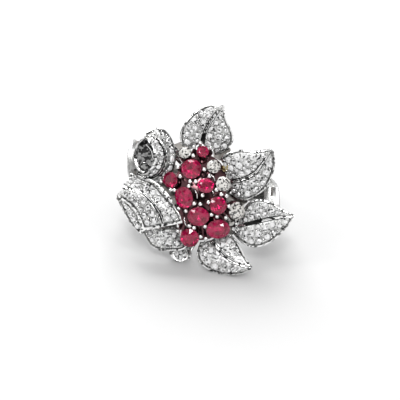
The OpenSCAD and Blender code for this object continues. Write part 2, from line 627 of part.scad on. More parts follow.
module leaf_top() {
  color("lightgray") lay() leaf(LEAF_TOP, [1, 5], lip_h, 0, 0.5, true);
}
module leaf_upper_right() {
  color("lightgray") lay() leaf(LEAF_UPPER_RIGHT, [1, 6], lip_h, 0, 0.5, true);
}
module leaf_lower_right() {
  color("lightgray") lay() leaf(LEAF_LOWER_RIGHT, [2, 6], lip_h, 0, 0.5, true);
}
module leaf_bottom() {
  color("lightgray") lay() leaf(LEAF_BOTTOM, [2, 5.5], lip_h, 0, 0.5, true);
}
module leaf_left() {
  color("lightgray") lay() {
    leaf(LEAF_LEFT, [1, 5], lip_h, 0.45, 0.5, false);
    stem(LEFT_STEM, 1.5 * stem_r);
  }
}
module leaf_lower_left() {
  color("lightgray") lay() leaf(LEAF_LOWER_LEFT, [9, 9], 0, 0, 0.5, true);
}
module petal_small() {
  color("lightgray") lay() leaf(PETAL_SMALL, [9, 9], 0, 0, 1, true);
}

// The tube, its windows in the half that turns away from the cluster, and the plate that closes its foot
function tube_wall(inset) =
  [for (level = TUBE_LEVELS, k = [0:tube_sides - 1])
    let (a = 360 * k / tube_sides, high = tube_high + tube_rise * cos(a))
    [
      TUBE_MID[0] + (TUBE_R[0] - inset) * cos(a),
      TUBE_MID[1] + (TUBE_R[1] - inset) * sin(a),
      mix(tube_low, high, level)
    ]];
module tube() {
  windows = [for (level = [1, 3], k = [4:2:tube_sides - 4]) [level, k]];
  polyhedron(
    concat(tube_wall(0), tube_wall(tube_t)),
    [for (f = shell_faces(len(TUBE_LEVELS), tube_sides, windows, true)) [f[2], f[1], f[0]]]
  );
  translate([0, 0, tube_low]) linear_extrude(tube_floor)
    polygon([for (k = [0:tube_sides - 1]) let (p = tube_wall(tube_t / 2)[k]) [p[0], p[1]]]);
}
module stem(ends, r) {
  d = ends[1] - ends[0];
  against_shell()
    translate(ends[0]) rotate([0, acos(d[2] / norm(d)), atan2(d[1], d[0])]) cylinder(r = r, h = norm(d));
}
module leaf_rolled() {
  color("lightgray") lay() {
    leaf(LEAF_ROLLED, [1, 8], lip_h, 0, 0.5, false);
    tube();
    for (w = ROLLED_STEMS) stem(w, stem_r);
  }
}

module ruby(i) {
  color("crimson") lay() main_stone(RUBIES[i]);
}
module diamond(i) {
  color("white") lay() main_stone(DIAMONDS[i]);
}

module pave_top() {
  color("white") lay() pave(pave_set(LEAF_TOP, 1.35, 6.6, 7, lip_h));
}
module pave_upper_right() {
  color("white") lay() pave(pave_set(LEAF_UPPER_RIGHT, 0.8, 6.5, 8, lip_h));
}
module pave_lower_right() {
  color("white") lay() pave(pave_set(LEAF_LOWER_RIGHT, 1.3, 7.5, 9, lip_h));
}
module pave_bottom() {
  color("white") lay() pave(pave_set(LEAF_BOTTOM, 0.8, 6.5, 8, lip_h));
}
module pave_left() {
  color("white") lay() pave(pave_set(LEAF_LEFT, 0.95, 6.7, 8, lip_h));
}
module pave_lower_left() {
  color("white") lay() pave(pave_set(LEAF_LOWER_LEFT, 0.7, 5.4, 6, 0));
}
module pave_petal() {
  color("white") lay() pave(pave_set(PETAL_SMALL, 1.5, 3.2, 2, 0));
}
module pave_rolled() {
  color("white") lay() pave(pave_set(LEAF_ROLLED, 1, 8.6, 10, lip_h));
}

shank();
gallery();
leaf_top();
leaf_upper_right();
leaf_lower_right();
leaf_bottom();
leaf_left();
leaf_lower_left();
petal_small();
leaf_rolled();
for (i = [0:len(RUBIES) - 1])
  ruby(i);
for (i = [0:len(DIAMONDS) - 1])
  diamond(i);
pave_top();
pave_upper_right();
pave_lower_right();
pave_bottom();
pave_left();
pave_lower_left();
pave_petal();
pave_rolled();
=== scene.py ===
# %% [markdown]
# A flower ring in white metal: rubies and diamonds in claws, leaves full of small diamonds, a
# smooth hoop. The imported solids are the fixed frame. Each step here takes a solid, rounds and
# finishes it as the jeweller would, and adds what is too fine for the solids: the smallest stones,
# the grains that hold them, the polish.

# %% Load the frame
import math
import random

import bmesh
import bpy
import numpy as np
from mathutils import Matrix, Vector
from mathutils.bvhtree import BVHTree
from mathutils.kdtree import KDTree


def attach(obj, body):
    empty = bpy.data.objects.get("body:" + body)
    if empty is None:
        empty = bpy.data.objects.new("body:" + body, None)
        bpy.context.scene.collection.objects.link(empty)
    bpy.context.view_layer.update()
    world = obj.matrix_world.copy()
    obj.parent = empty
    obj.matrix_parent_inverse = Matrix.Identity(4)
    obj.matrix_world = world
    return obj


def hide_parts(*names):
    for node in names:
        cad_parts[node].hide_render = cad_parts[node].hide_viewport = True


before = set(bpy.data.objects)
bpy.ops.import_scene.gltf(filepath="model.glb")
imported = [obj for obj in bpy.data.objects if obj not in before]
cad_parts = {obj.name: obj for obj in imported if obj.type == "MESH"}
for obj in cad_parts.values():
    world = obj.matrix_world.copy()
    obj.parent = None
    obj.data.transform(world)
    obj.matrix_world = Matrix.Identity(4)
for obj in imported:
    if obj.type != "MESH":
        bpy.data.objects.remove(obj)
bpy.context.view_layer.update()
print("solids:", len(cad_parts))

# %% [markdown]
# The ring lies on its side, so nothing on it is square to the floor. The head has a frame of its
# own: X to the right, Y up and Z out of the flower. HEAD takes a point of that frame to where it is
# in the scene. Every place that is read off the flower is given in it, in millimetres.

# %% The head's frame
MM = 0.001
LEAN = math.radians(28.89)
TURN = math.radians(7.07)
SHIFT = Vector((-0.578, -5.005, 10.063)) * MM
HEAD = (
    Matrix.Translation(SHIFT)
    @ Matrix.Rotation(math.pi / 2 - LEAN, 4, "X")
    @ Matrix.Rotation(TURN, 4, "Z")
)
HEAD_BACK = HEAD.inverted()
HEAD_OUT = (HEAD.to_3x3() @ Vector((0, 0, 1))).normalized()


def on_head(x, y, z):
    """A point of the head's frame, in millimetres, as a point of the scene."""
    return HEAD @ (Vector((x, y, z)) * MM)


print("the flower faces", [round(c, 3) for c in HEAD_OUT])

# %% [markdown]
# The photograph looks straight down on the flower, so the camera looks back along the head's own Z.
# A long lens far away keeps the picture free of perspective, as a product photograph is.

# %% Camera
VIEW_WIDTH = 62.8 * MM
VIEW_MIDDLE = on_head(-0.55, -1.57, 3)
LENS = 280.0
SENSOR = 36.0
NEAREST = 0.01  # in metres; nothing nearer is drawn
bpy.ops.object.camera_add()
camera = bpy.context.object
camera.data.lens = LENS
camera.data.sensor_width = SENSOR
camera.data.clip_start = NEAREST
far = VIEW_WIDTH * LENS / SENSOR
camera.matrix_world = Matrix.Translation(VIEW_MIDDLE + HEAD_OUT * far) @ HEAD.to_3x3().to_4x4()
bpy.context.scene.camera = camera
print("camera is", round(far, 3), "m away and", round(camera.location.z, 3), "m up")

# %% [markdown]
# The floor is a sheet of white card, large enough that its edge is never in view. It is a stage, so
# it isn't part of the ring.

# %% Floor
FLOOR_WIDTH = 4
CARD_TONE = 0.58
bpy.ops.object.select_all(action="DESELECT")
bpy.ops.mesh.primitive_plane_add(size=FLOOR_WIDTH)
floor = bpy.context.object
floor.name = "floor"
card = bpy.data.materials.new("white_card")
card.use_nodes = True
paper = card.node_tree.nodes["Principled BSDF"]
paper.inputs["Base Color"].default_value = (CARD_TONE, CARD_TONE, CARD_TONE, 1)
paper.inputs["Roughness"].default_value = 0.9
floor.data.materials.append(card)
print("floor is", FLOOR_WIDTH, "m wide")

# %% [markdown]
# Jewellery is photographed in a tent of white cloth: soft light from everywhere, and a dark opening
# for the lens. The dark opening is what draws the thin dark lines in polished metal and the black
# facets in the stones. The tent is the world here: white, with a few darker panels, and black round
# the lens.

# %% Light tent
# How far a way looks towards the lens, 1 being straight at it and 0 square to it or away, and how
# bright the cloth is there
LENS_TONES = [(0.0, 0.6), (0.5, 0.8), (0.85, 0.95), (0.96, 0.9), (0.985, 0.12), (1.0, 0.03)]
# Where in the noise a fold is darkest and where it ends, each with its tone
FOLD_TONES = [(0.4, (0.1, 0.1, 0.11, 1)), (0.5, (1, 1, 1, 1))]
FOLDS = 3.2  # how close together the folds are
FOLD_DETAIL = 1.5
CLOTH_STRENGTH = 1.05
world = bpy.data.worlds.new("tent")
bpy.context.scene.world = world
world.use_nodes = True
tent = world.node_tree
tent.nodes.clear()


def tent_node(kind, **values):
    """A node of the tent with its settings."""
    node = tent.nodes.new(kind)
    for key, value in values.items():
        setattr(node, key, value)
    return node


direction = tent_node("ShaderNodeTexCoord")
facing = tent_node("ShaderNodeVectorMath", operation="DOT_PRODUCT")
facing.inputs[1].default_value = HEAD_OUT
tent.links.new(direction.outputs["Generated"], facing.inputs[0])
round_lens = tent_node("ShaderNodeValToRGB")
for i, (place, tone) in enumerate(LENS_TONES):
    stops = round_lens.color_ramp.elements
    stop = stops[i] if i < len(stops) else stops.new(place)
    stop.position = place
    stop.color = (tone, tone, tone, 1)
tent.links.new(facing.outputs["Value"], round_lens.inputs["Fac"])
folds = tent_node("ShaderNodeTexNoise")
folds.inputs["Scale"].default_value = FOLDS
folds.inputs["Detail"].default_value = FOLD_DETAIL
tent.links.new(direction.outputs["Generated"], folds.inputs["Vector"])
fold_tone = tent_node("ShaderNodeValToRGB")
for stop, (place, colour) in zip(fold_tone.color_ramp.elements, FOLD_TONES):
    stop.position = place
    stop.color = colour
tent.links.new(folds.outputs["Fac"], fold_tone.inputs["Fac"])
both = tent_node("ShaderNodeMix", data_type="RGBA", blend_type="MULTIPLY")
both.inputs["Factor"].default_value = 1.0
tent.links.new(round_lens.outputs["Color"], both.inputs["A"])
tent.links.new(fold_tone.outputs["Color"], both.inputs["B"])
cloth = tent_node("ShaderNodeBackground")
cloth.inputs["Strength"].default_value = CLOTH_STRENGTH
tent.links.new(both.outputs["Result"], cloth.inputs["Color"])
tent_out = tent_node("ShaderNodeOutputWorld")
tent.links.new(cloth.outputs["Background"], tent_out.inputs["Surface"])
print("tent nodes:", len(tent.nodes))

# %% [markdown]
# Four soft boxes stand round the tent. The one above and behind the flower gives the shadow, which
# falls to the front. One near the lens lights the stones from the front, and two weak ones at the
# sides give the edges a line.

# %% Soft boxes
# Name, how far out along the head's own Z and how far from there in the scene, width, all in
# metres, and watts
LAMPS = [
    ("top_box", 0, (-0.08, 0.28, 0.34), 0.36, 2.8),
    ("front_box", 0.45, (-0.03, 0, 0.16), 0.12, 0.95),
    ("left_box", 0, (-0.3, -0.2, 0.3), 0.1, 0.35),
    ("right_box", 0, (0.3, -0.25, 0.25), 0.06, 0.2),
]


def soft_lamp(name, at, aim, width, watts):
    """A soft square lamp at a point, facing another."""
    bpy.ops.object.light_add(type="AREA", location=at)
    lamp = bpy.context.object
    lamp.name = name
    lamp.data.shape = "SQUARE"
    lamp.data.size = width
    lamp.data.energy = watts
    lamp.rotation_euler = (aim - at).to_track_quat("-Z", "Y").to_euler()
    return lamp


flower = on_head(0, 0, 0)
for name, out, offset, width, watts in LAMPS:
    lamp = soft_lamp(name, flower + HEAD_OUT * out + Vector(offset), flower, width, watts)
    print(name, "is", round((lamp.location - flower).length, 2), "m away")

# %% [markdown]
# The picture is kept neutral, with no film look, so that white card stays white. Light needs many
# bounces to find its way through cut stones, and a cap on the brightest bounces keeps stray white
# dots out of the picture.

# %% Picture settings
BOUNCES = 16
GLOSSY_BOUNCES = 8
BRIGHTEST_BOUNCE = 6.0
scene = bpy.context.scene
scene.view_settings.view_transform = "Standard"
scene.view_settings.look = "None"
scene.view_settings.exposure = 0.0
scene.cycles.max_bounces = BOUNCES
scene.cycles.transmission_bounces = BOUNCES
scene.cycles.glossy_bounces = GLOSSY_BOUNCES
scene.cycles.caustics_reflective = False
scene.cycles.caustics_refractive = False
scene.cycles.sample_clamp_indirect = BRIGHTEST_BOUNCE
scene.cycles.use_denoising = True
print("light may bounce", BOUNCES, "times")

# %% [markdown]
# Polished white metal isn't one flat tone: a finger has been on it, the polishing wheel has left
# faint lines, and the hollows keep a little grey. One node group makes that for every metal here.
# It puts out a colour, a roughness and a normal, and each material gives it its own tones.

# %% Polish, a shared node group
def new_group(name, inputs, outputs):
    """An empty node group with the named sockets, and its two end nodes."""
    group = bpy.data.node_groups.new(name, "ShaderNodeTree")
    for label, kind, value in inputs:
        socket = group.interface.new_socket(label, in_out="INPUT", socket_type=kind)
        socket.default_value = value
    for label, kind in outputs:
        group.interface.new_socket(label, in_out="OUTPUT", socket_type=kind)
    return group, group.nodes.new("NodeGroupInput"), group.nodes.new("NodeGroupOutput")


COLOUR, NUMBER, DIRECTION = "NodeSocketColor", "NodeSocketFloat", "NodeSocketVector"
CLOUDS = 420  # to a metre
CLOUD_DETAIL = 3
CLOUD_EDGES = (0.42, 0.72)
WHEEL_LINES = (900, 9000, 9000)  # to a metre, along and across the wheel's way
WHEEL_DETAIL = 2
LINE_DEPTH = 0.00002  # in metres
polish, polish_in, polish_out = new_group(
    "polish",
    [
        ("Clean", COLOUR, (0.9, 0.9, 0.91, 1)),
        ("Grey", COLOUR, (0.6, 0.6, 0.62, 1)),
        ("Smooth", NUMBER, 0.05),
        ("Dull", NUMBER, 0.16),
        ("Lines", NUMBER, 0.05),
    ],
    [("Color", COLOUR), ("Roughness", NUMBER), ("Normal", DIRECTION)],
)


def joined(tree, kind, links=(), **values):
    """A node of the tree with its settings, its plain inputs and its links."""
    node = tree.nodes.new(kind)
    for key, value in values.items():
        if key.startswith("in_"):
            node.inputs[int(key[3:])].default_value = value
        else:
            setattr(node, key, value)
    for source, target in links:
        tree.links.new(source, node.inputs[target])
    return node


place = joined(polish, "ShaderNodeTexCoord")
cloud = joined(polish, "ShaderNodeTexNoise", [(place.outputs["Object"], "Vector")])
cloud.inputs["Scale"].default_value = CLOUDS
cloud.inputs["Detail"].default_value = CLOUD_DETAIL
cloud_tone = joined(polish, "ShaderNodeMapRange", [(cloud.outputs["Fac"], "Value")])
cloud_tone.inputs["From Min"].default_value = CLOUD_EDGES[0]
cloud_tone.inputs["From Max"].default_value = CLOUD_EDGES[1]
tone = joined(polish, "ShaderNodeMix", data_type="RGBA")
polish.links.new(cloud_tone.outputs["Result"], tone.inputs["Factor"])
polish.links.new(polish_in.outputs["Clean"], tone.inputs["A"])
polish.links.new(polish_in.outputs["Grey"], tone.inputs["B"])
shine = joined(polish, "ShaderNodeMix", data_type="FLOAT")
polish.links.new(cloud_tone.outputs["Result"], shine.inputs["Factor"])
polish.links.new(polish_in.outputs["Smooth"], shine.inputs["A"])
polish.links.new(polish_in.outputs["Dull"], shine.inputs["B"])
stretch = joined(polish, "ShaderNodeMapping", [(place.outputs["Object"], "Vector")])
stretch.inputs["Scale"].default_value = WHEEL_LINES
wheel = joined(polish, "ShaderNodeTexNoise", [(stretch.outputs["Vector"], "Vector")])
wheel.inputs["Scale"].default_value = 1
wheel.inputs["Detail"].default_value = WHEEL_DETAIL
line_bump = joined(polish, "ShaderNodeBump", [(wheel.outputs["Fac"], "Height")])
polish.links.new(polish_in.outputs["Lines"], line_bump.inputs["Strength"])
line_bump.inputs["Distance"].default_value = LINE_DEPTH
polish.links.new(tone.outputs["Result"], polish_out.inputs["Color"])
polish.links.new(shine.outputs["Result"], polish_out.inputs["Roughness"])
polish.links.new(line_bump.outputs["Normal"], polish_out.inputs["Normal"])
print("polish nodes:", len(polish.nodes))

# %% [markdown]
# Each metal of the ring is that polish with its own tones: its colour where it is clean and where
# it is grey, how rough it is in both places, and how strong the wheel's lines are.

# %% White metal
WHITE = (0.93, 0.93, 0.92)
WORN = (0.82, 0.82, 0.82)


def metal(name, clean, grey, smooth, dull, lines):
    """A white metal with its own tones of the shared polish."""
    material = bpy.data.materials.new(name)
    material.use_nodes = True
    tree = material.node_tree
    shader = tree.nodes["Principled BSDF"]
    shader.inputs["Metallic"].default_value = 1.0
    finish = tree.nodes.new("ShaderNodeGroup")
    finish.node_tree = polish
    finish.inputs["Clean"].default_value = (*clean, 1)
    finish.inputs["Grey"].default_value = (*grey, 1)
    finish.inputs["Smooth"].default_value = smooth
    finish.inputs["Dull"].default_value = dull
    finish.inputs["Lines"].default_value = lines
    tree.links.new(finish.outputs["Color"], shader.inputs["Base Color"])
    tree.links.new(finish.outputs["Roughness"], shader.inputs["Roughness"])
    tree.links.new(finish.outputs["Normal"], shader.inputs["Normal"])
    return material


bright_metal = metal("bright_metal", WHITE, WORN, 0.05, 0.14, 0.04)
print(bright_metal.name, "has", len(bright_metal.node_tree.nodes), "nodes")

# %% [markdown]
# The basket under the stones is bright on the claws and the collets' upper edges. Below them it
# looks dark red from the front, because it lies in shade and white metal mirrors the rubies there.
# That painted shade and painted reflection of the rubies is given to the deep metal as its own
# colour here, so the basket is red from behind too, where a real one isn't. The girdles lie on a
# dome, so a place's distance to the dome's middle says how deep it is.

# %% Basket metal, with painted shade in its depths
DOME = on_head(-0.5, -0.8, -11)
DARK_BELOW = 14.8 * MM
BRIGHT_ABOVE = 16.0 * MM
# The basket's depths: painted shade, tinted red as a painted reflection of the rubies
PAINTED_SHADE = (0.1, 0.05, 0.055, 1)
basket_metal = metal("basket_metal", (0.9, 0.9, 0.89), (0.7, 0.7, 0.7), 0.06, 0.2, 0.05)
tree = basket_metal.node_tree
where = joined(tree, "ShaderNodeTexCoord")
depth = joined(tree, "ShaderNodeVectorMath", [(where.outputs["Object"], 0)], operation="DISTANCE")
depth.inputs[1].default_value = DOME
reach = joined(tree, "ShaderNodeMapRange", [(depth.outputs["Value"], "Value")])
reach.inputs["From Min"].default_value = DARK_BELOW
reach.inputs["From Max"].default_value = BRIGHT_ABOVE
shader = tree.nodes["Principled BSDF"]
finish = next(node for node in tree.nodes if node.type == "GROUP")
deep = joined(tree, "ShaderNodeMix", [(reach.outputs["Result"], 0)], data_type="RGBA")
deep.inputs["A"].default_value = PAINTED_SHADE
tree.links.new(finish.outputs["Color"], deep.inputs["B"])
tree.links.new(deep.outputs["Result"], shader.inputs["Base Color"])
print("the basket is dark up to", round(DARK_BELOW / MM, 1), "mm from the dome's middle")

# %% [markdown]
# Inside the slits and hollows no wheel ever comes, and the metal there is dull. Its grey-brown
# tone, nearly black in a sawn slit, is painted shade. The hoop has a satin finish. The upright
# sides of the rims and lips are in between: the wheel passes over them, and their grey tone, which
# draws the leaf's edge, is painted shade too.

# %% Hollow, slit, satin and side metal; all but satin are painted shade
METALS = [
    # name, clean, grey, smooth, dull, lines
    ("painted_shade_metal", (0.2, 0.19, 0.18), (0.05, 0.045, 0.04), 0.3, 0.55, 0.6),
    ("painted_slit_shade_metal", (0.04, 0.04, 0.04), (0.01, 0.01, 0.01), 0.5, 0.7, 0.3),
    ("satin_metal", (0.53, 0.53, 0.52), (0.49, 0.49, 0.49), 0.26, 0.3, 0.05),
    ("painted_side_shade_metal", (0.5, 0.5, 0.49), (0.2, 0.2, 0.2), 0.12, 0.3, 0.2),
]
painted_shade_metal, painted_slit_shade_metal, satin_metal, painted_side_shade_metal = [metal(*row) for row in METALS]
print("metals:", [row[0] for row in METALS])

# %% [markdown]
# A cut stone looks like a heap of bright and dark chips, because each facet shows another part of
# the room, turned twice inside the stone. The large facets are modelled. The finer play inside is
# painted reflection, a second node group: cells of a Voronoi pattern, about as wide as a facet,
# each with a tone between the stone's bright and its deep colour, painted into the stone's colour.

# %% Sparkle, a shared node group of painted reflections
sparkle, sparkle_in, sparkle_out = new_group(
    "sparkle",
    [
        ("Bright", COLOUR, (1, 1, 1, 1)),
        ("Deep", COLOUR, (0, 0, 0, 1)),
        ("Cells", NUMBER, 3000),
        ("Share", NUMBER, 0.4),
        ("Soft", NUMBER, 0.1),
    ],
    [("Color", COLOUR)],
)
place = joined(sparkle, "ShaderNodeTexCoord")
chips = joined(sparkle, "ShaderNodeTexVoronoi", [(place.outputs["Object"], "Vector")])
sparkle.links.new(sparkle_in.outputs["Cells"], chips.inputs["Scale"])
one = joined(sparkle, "ShaderNodeSeparateColor", [(chips.outputs["Color"], 0)])
past = joined(sparkle, "ShaderNodeMath", [(one.outputs[0], 0)], operation="SUBTRACT")
sparkle.links.new(sparkle_in.outputs["Share"], past.inputs[1])
less = joined(sparkle, "ShaderNodeMath", operation="MULTIPLY", in_1=-1.0)
sparkle.links.new(sparkle_in.outputs["Soft"], less.inputs[0])
step = joined(
    sparkle, "ShaderNodeMapRange", [(past.outputs[0], "Value"), (less.outputs[0], "From Min")]
)
sparkle.links.new(sparkle_in.outputs["Soft"], step.inputs["From Max"])
blend = joined(sparkle, "ShaderNodeMix", [(step.outputs["Result"], 0)], data_type="RGBA")
sparkle.links.new(sparkle_in.outputs["Deep"], blend.inputs["A"])
sparkle.links.new(sparkle_in.outputs["Bright"], blend.inputs["B"])
sparkle.links.new(blend.outputs["Result"], sparkle_out.inputs["Color"])
print("sparkle nodes:", len(sparkle.nodes))

# %% [markdown]
# A ruby is a deep pinkish red, a diamond has no colour at all, and an old one is a little yellow.
# All are clear glass to the renderer, with their own high refraction, and share the sparkle with
# tones and cells of their own. Its bright and dark chips are painted reflection in their colour.

# %% Ruby and diamond
def gem(name, refraction, clear, gloss, bright, deep, cells, share, soft):
    """A stone, clear in the given share, with painted reflections between its two tones.

    There are so many cells to a metre, a share of them is deep, and soft blends the two tones.
    """
    material = bpy.data.materials.new(name)
    material.use_nodes = True
    tree = material.node_tree
    shader = tree.nodes["Principled BSDF"]
    shader.inputs["Metallic"].default_value = 0.0
    shader.inputs["Roughness"].default_value = 0.0
    shader.inputs["IOR"].default_value = refraction
    shader.inputs["Specular IOR Level"].default_value = gloss
    shader.inputs["Transmission Weight"].default_value = clear
    play = tree.nodes.new("ShaderNodeGroup")
    play.node_tree = sparkle
    play.inputs["Bright"].default_value = (*bright, 1)
    play.inputs["Deep"].default_value = (*deep, 1)
    play.inputs["Cells"].default_value = cells
    play.inputs["Share"].default_value = share
    play.inputs["Soft"].default_value = soft
    tree.links.new(play.outputs["Color"], shader.inputs["Base Color"])
    return material


GEMS = [
    # name, refraction, clear, gloss, bright, deep, cells, share, soft
    ("ruby_glass", 1.77, 0.7, 0.09, (0.8, 0.004, 0.13), (0.3, 0.0, 0.035), 1300, 0.5, 0.5),
    ("diamond_glass", 2.42, 0.4, 0.4, (1, 0.97, 0.92), (0.02, 0.018, 0.015), 4300, 0.38, 0.05),
    ("old_diamond", 2.42, 0.4, 0.3, (1, 0.82, 0.42), (0.16, 0.09, 0.02), 3600, 0.4, 0.1),
    ("pave_glass", 2.42, 0.25, 0.3, (1, 1, 1), (0.01, 0.01, 0.01), 4000, 0.2, 0.1),
]
ruby_glass, diamond_glass, old_diamond, pave_glass = [gem(*row) for row in GEMS]
print("stones:", [row[0] for row in GEMS])

# %% [markdown]
# The edges of a pavé bed are bright-cut: the graver takes small flat chips off the metal, and each
# chip catches the light its own way. That glint is painted here with the sparkle again, on metal,
# and the same cells give it a little relief. The bed itself is duller, its dark chips painted
# shade between the stones, and the inside of the rolled leaf's tube is duller and darker still,
# its darkness painted shade.

# %% Bright-cut metal, its glints painted
CHIP_DEPTH = 0.03 * MM


def chipped(name, cells, share, smooth, dull, bright, deep):
    """A metal of painted glints: small chips, a given share deep in tone and the others bright."""
    material = metal(name, WHITE, WORN, smooth, dull, 0.05)
    tree = material.node_tree
    shader = tree.nodes["Principled BSDF"]
    chips = tree.nodes.new("ShaderNodeGroup")
    chips.node_tree = sparkle
    chips.inputs["Bright"].default_value = (bright, bright, 0.99 * bright, 1)
    chips.inputs["Deep"].default_value = (deep, deep, deep, 1)
    chips.inputs["Cells"].default_value = cells
    chips.inputs["Share"].default_value = share
    tree.links.new(chips.outputs["Color"], shader.inputs["Base Color"])
    relief = joined(tree, "ShaderNodeBump", [(chips.outputs["Color"], "Height")])
    relief.inputs["Distance"].default_value = CHIP_DEPTH
    tree.links.new(relief.outputs["Normal"], shader.inputs["Normal"])
    return material


CHIPPED_METALS = [
    # name, cells, share, smooth, dull, bright, deep
    ("cut_metal", 3300, 0.25, 0.14, 0.28, 0.95, 0.04),
    ("bed_metal", 4200, 0.22, 0.38, 0.5, 0.85, 0.04),
    ("painted_tube_shade_metal", 3200, 0.55, 0.3, 0.45, 0.2, 0.02),
]
cut_metal, bed_metal, painted_tube_shade_metal = [chipped(*row) for row in CHIPPED_METALS]
print("chipped metals:", [row[0] for row in CHIPPED_METALS])

# %% [markdown]
# Most pieces start as a copy of their solid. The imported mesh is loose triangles, so the copy is
# welded first and its triangles are joined back into the four-sided faces that the form was drawn
# with. Other helpers apply a modifier, crease the sharp edges, make an object of a drawn mesh, and
# join several objects into one.

# %% Helpers: a welded copy of a solid
WELD = 0.002 * MM
FLAT_ENOUGH = math.radians(40)
SQUARE_ENOUGH = math.radians(60)


def only(piece):
    """Selects one object and makes it the active one."""
    bpy.ops.object.select_all(action="DESELECT")
    piece.select_set(True)
    bpy.context.view_layer.objects.active = piece


def welded_copy(node, name):
    """A copy of a CAD node's mesh as a new object, welded, in four-sided faces where it can be."""
    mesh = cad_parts[node].data.copy()
    mesh.name = name
    piece = bpy.data.objects.new(name, mesh)
    bpy.context.scene.collection.objects.link(piece)
    mesh.materials.clear()
    only(piece)
    if mesh.has_custom_normals:
        bpy.ops.mesh.customdata_custom_splitnormals_clear()
    bpy.ops.object.mode_set(mode="EDIT")
    bpy.ops.mesh.select_all(action="SELECT")
    bpy.ops.mesh.remove_doubles(threshold=WELD)
    bpy.ops.mesh.tris_convert_to_quads(
        face_threshold=FLAT_ENOUGH, shape_threshold=SQUARE_ENOUGH
    )
    bpy.ops.mesh.select_all(action="DESELECT")
    bpy.ops.object.mode_set(mode="OBJECT")
    return piece


def applied(piece, kind, **values):
    """Adds a modifier with its settings and applies it."""
    only(piece)
    modifier = piece.modifiers.new(kind, kind)
    for key, value in values.items():
        setattr(modifier, key, value)
    bpy.ops.object.modifier_apply(modifier=modifier.name)


def creased(piece, angle, crease):
    """Creases every edge that is sharper than the angle."""
    only(piece)
    bpy.ops.object.mode_set(mode="EDIT")
    bpy.ops.mesh.select_mode(type="EDGE")
    bpy.ops.mesh.select_all(action="DESELECT")
    bpy.ops.mesh.edges_select_sharp(sharpness=angle)
    bpy.ops.transform.edge_crease(value=crease)
    bpy.ops.mesh.select_all(action="DESELECT")
    bpy.ops.object.mode_set(mode="OBJECT")


def drawn(name, shape):
    """A new object with a mesh that was drawn corner by corner."""
    mesh = bpy.data.meshes.new(name)
    shape.to_mesh(mesh)
    shape.free()
    piece = bpy.data.objects.new(name, mesh)
    bpy.context.scene.collection.objects.link(piece)
    return piece


def one_piece(pieces):
    """Joins the pieces into the first of them."""
    only(pieces[0])
    for piece in pieces:
        piece.select_set(True)
    bpy.ops.object.join()
    return pieces[0]


def finished(piece, slot, *nodes):
    """The piece rides on the ring and stands for its nodes; the slot is not used."""
    if nodes:
        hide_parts(*nodes)
    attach(piece, "root")
    print(piece.name, "faces:", len(piece.data.polygons))
    return piece


# %% [markdown]
# The small diamonds lie where the solids have them. Each loose stone of a pavé node gives its
# middle, the way its table looks and its diameter. To tell the stones apart, the welded mesh is
# walked from corner to corner. A stone is flattest along its own axis, and its pointed side is the
# one that reaches furthest.

# %% Where the solids have their small diamonds
NEAR_GIRDLE = 0.8


def loose_stones(node):
    """(middle of the girdle, way the table looks, diameter) of each loose stone of a node."""
    shape = bmesh.new()
    shape.from_mesh(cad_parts[node].data)
    bmesh.ops.remove_doubles(shape, verts=shape.verts, dist=WELD)
    seen, stones = set(), []
    for first in shape.verts:
        group, todo = [], [first]
        while todo:
            vert = todo.pop()
            if vert not in seen:
                seen.add(vert)
                group.append(vert)
                todo.extend(edge.other_vert(vert) for edge in vert.link_edges)
        if not group:
            continue
        points = np.array([vert.co for vert in group])
        offset = points - points.mean(0)
        out = np.linalg.svd(offset, full_matrices=False)[2][2]
        height = offset @ out
        if height[np.abs(height).argmax()] > 0:
            out = -out
        reach = np.linalg.norm(offset - np.outer(offset @ out, out), axis=1)
        girdle = points[reach > NEAR_GIRDLE * reach.max()]
        centre = girdle.mean(0)
        width = 2 * np.linalg.norm(girdle - centre, axis=1).mean()
        stones.append((Vector(centre), Vector(out), float(width)))
    shape.free()
    stones.sort(key=lambda stone: tuple(round(c, 6) for c in stone[0]))
    return stones


LEAVES = {
    "top": ("leaf_top", "pave_top"),
    "upper_right": ("leaf_upper_right", "pave_upper_right"),
    "lower_right": ("leaf_lower_right", "pave_lower_right"),
    "bottom": ("leaf_bottom", "pave_bottom"),
    "left": ("leaf_left", "pave_left"),
    "lower_left": ("leaf_lower_left", "pave_lower_left"),
    "petal": ("petal_small", "pave_petal"),
    "rolled": ("leaf_rolled", "pave_rolled"),
}
stones_of = {key: loose_stones(nodes[1]) for key, nodes in LEAVES.items()}
for key, stones in stones_of.items():
    print(key, len(stones), "stones of", [round(w / MM, 2) for _, _, w in stones[:4]], "mm")

# %% [markdown]
# A leaf is cast with a raised rim, a sunk bed and lips beside the vein, then polished on the high
# parts only. So each of its faces gets its own metal, and the upright sides, the slit and the
# inside of the rolled leaf's tube get painted shade. The bed is found from its stones: the face
# under each stone and all that joins it without a sharp edge. The rolled leaf's tube is found by
# its place and by the way its faces look.

# %% Parts of a leaf
SHARP = math.radians(32)
TUBE_MIDDLE = (-9.2, 5.35)
TUBE_RADII = (1.77, 2.85)
# Up to which share of the radii and which height a face is inside, or on the outer wall
INSIDE, INSIDE_TOP = 0.93, 5.2
OUTSIDE, OUTSIDE_TOP = 1.08, 5
TUBE_FLOOR = 2
LOOKS_IN, LOOKS_OUT, LOOKS_UP = -0.2, 0.3, 0.8


def smooth_run(shape, starts, reach):
    """The faces straight below the starts, and all that joins them without a sharp edge."""
    shape.faces.ensure_lookup_table()
    tree = BVHTree.FromBMesh(shape)
    todo = []
    for point, out in starts:
        hit = tree.ray_cast(point, -out, reach)
        if hit[2] is not None:
            todo.append(shape.faces[hit[2]])
    found = set()
    while todo:
        face = todo.pop()
        if face in found:
            continue
        found.add(face)
        for edge in face.edges:
            if len(edge.link_faces) == 2 and edge.calc_face_angle(math.pi) < SHARP:
                todo.extend(edge.link_faces)
    return found


